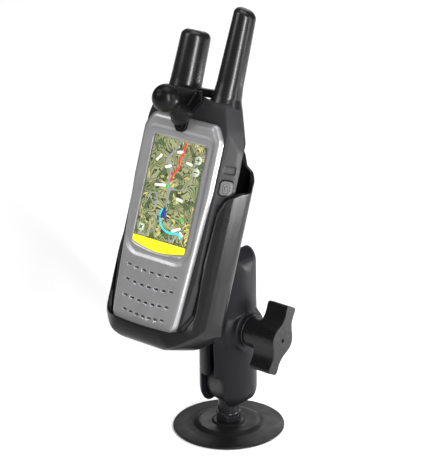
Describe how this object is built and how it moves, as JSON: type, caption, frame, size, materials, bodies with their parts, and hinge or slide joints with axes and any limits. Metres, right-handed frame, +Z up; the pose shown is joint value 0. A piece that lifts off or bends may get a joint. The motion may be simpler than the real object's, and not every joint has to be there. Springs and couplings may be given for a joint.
{
  "type": "handheld gps radio on ball mount",
  "caption": "Handheld satellite navigator and two-way radio in a snap-in cradle, on a double-ball clamp arm with a round stick-down base.",
  "frame": {"origin": "centre of the adhesive pad's underside", "axes": "+Z up, out of the surface it sticks to; +X along the clamp bolt towards the knob; the handset faces -Y and leans back 20 degrees"},
  "size_m": [0.0734, 0.1078, 0.25],
  "materials": {
    "adhesive": "closed-cell foam, matt",
    "disc_plastic": "satin moulded, flexible",
    "post_metal": "black anodised",
    "ball_rubber": "matt rubber over metal",
    "arm_coat": "black powder coat on die-cast aluminium",
    "knob_plastic": "glass-filled nylon, satin",
    "steel": "zinc plated",
    "brass_insert": "machined",
    "cradle_plastic": "satin moulded",
    "face_grey": "satin metallic paint with bright edges",
    "strip_yellow": "printed strip, blank",
    "lens": "clear, glossy",
    "display": "lit map picture",
    "body_rubber": "soft-touch rubber",
    "gasket": "silicone",
    "board_green": "solder mask",
    "speaker_black": "moulded frame and cone",
    "battery": "textured",
    "contacts": "gold-plated",
    "antenna_rubber": "soft-touch rubber",
    "ceramic": "unglazed, with printed helix",
    "key_rubber": "moulded rubber key"
  },
  "bodies": {
    "base": {"adhesive_pad": "adhesive", "flex_disc": "disc_plastic", "base_post": "post_metal"},
    "swivel_ball": {"lower_ball": "ball_rubber"},
    "arm": {"arm_half_left": "arm_coat", "clamp_bolt": "steel", "arm_spring": "steel"},
    "arm_jaw": {"arm_half_right": "arm_coat", "knob_washer": "knob_plastic"},
    "knob": {"clamp_knob": "knob_plastic", "knob_insert": "brass_insert"},
    "tilt_ball": {"upper_ball": "ball_rubber"},
    "cradle": {"ball_plate": "arm_coat", "plate_screws": "steel", "plate_nuts": "steel", "cradle_shell": "cradle_plastic", "clip_pin": "steel", "face_bezel": "face_grey", "name_strip": "strip_yellow", "screen_lens": "lens", "display_panel": "display", "front_housing": "body_rubber", "housing_gasket": "gasket", "rear_housing": "body_rubber", "housing_screws": "steel", "main_board": "board_green", "board_screws": "steel", "speaker": "speaker_black", "microphone": "steel", "battery_pack": "battery", "battery_contacts": "contacts", "data_port": "steel", "gps_antenna_cover": "antenna_rubber", "gps_antenna_element": "ceramic", "radio_antenna_sheath": "antenna_rubber", "radio_antenna_rod": "steel", "button_switches": "steel"},
    "clip": {"release_clip": "cradle_plastic"},
    "cap": {"port_cap": "key_rubber"},
    "power_key": {"power_button": "key_rubber"},
    "talk_key": {"talk_button": "key_rubber"},
    "call_key": {"call_button": "key_rubber"}
  },
  "joints": [
    {"name": "base_swivel", "type": "hinge", "parent": "base", "child": "swivel_ball", "pos_m": [0, 0, 0.0295], "axis": [0, 0, 1], "continuous": true},
    {"name": "arm_tilt", "type": "hinge", "parent": "swivel_ball", "child": "arm", "pos_m": [0, 0, 0.0295], "axis": [1, 0, 0], "range_deg": [-80, 45]},
    {"name": "jaw_open", "type": "slide", "parent": "arm", "child": "arm_jaw", "axis": [1, 0, 0], "range_m": [0, 0.00254]},
    {"name": "knob_turn", "type": "hinge", "parent": "arm_jaw", "child": "knob", "pos_m": [0, 0, 0.06375], "axis": [1, 0, 0], "range_deg": [0, 720]},
    {"name": "cradle_tilt", "type": "hinge", "parent": "arm", "child": "tilt_ball", "pos_m": [0, 0, 0.098], "axis": [1, 0, 0], "range_deg": [-70, 20]},
    {"name": "cradle_roll", "type": "hinge", "parent": "tilt_ball", "child": "cradle", "pos_m": [0, 0, 0.098], "axis": [0, -0.9397, 0.342], "range_deg": [-90, 90]},
    {"name": "clip_lift", "type": "hinge", "parent": "cradle", "child": "clip", "pos_m": [0, -0.00306, 0.19659], "axis": [-1, 0, 0], "range_deg": [0, 35], "stiffness_Nm_per_rad": 0.5, "springref_deg": -6.88},
    {"name": "cap_open", "type": "hinge", "parent": "cradle", "child": "cap", "pos_m": [-0.0107, -0.00626, 0.18956], "axis": [1, 0, 0], "range_deg": [0, 110], "stiffness_Nm_per_rad": 0.0015, "springref_deg": -11.46},
    {"name": "power_press", "type": "slide", "parent": "cradle", "child": "power_key", "axis": [-0.9781, 0.1954, -0.0711], "range_m": [0, 0.0006], "stiffness_N_per_m": 900, "springref_m": -0.0006},
    {"name": "talk_press", "type": "slide", "parent": "cradle", "child": "talk_key", "axis": [0.9781, 0.1954, -0.0711], "range_m": [0, 0.0006], "stiffness_N_per_m": 900, "springref_m": -0.0006},
    {"name": "call_press", "type": "slide", "parent": "cradle", "child": "call_key", "axis": [0.9781, 0.1954, -0.0711], "range_m": [0, 0.0006], "stiffness_N_per_m": 900, "springref_m": -0.0006}
  ],
  "couplings": [
    {"joint": "knob_turn", "follows": "jaw_open", "rad_per_m": 4947.4}
  ]
}
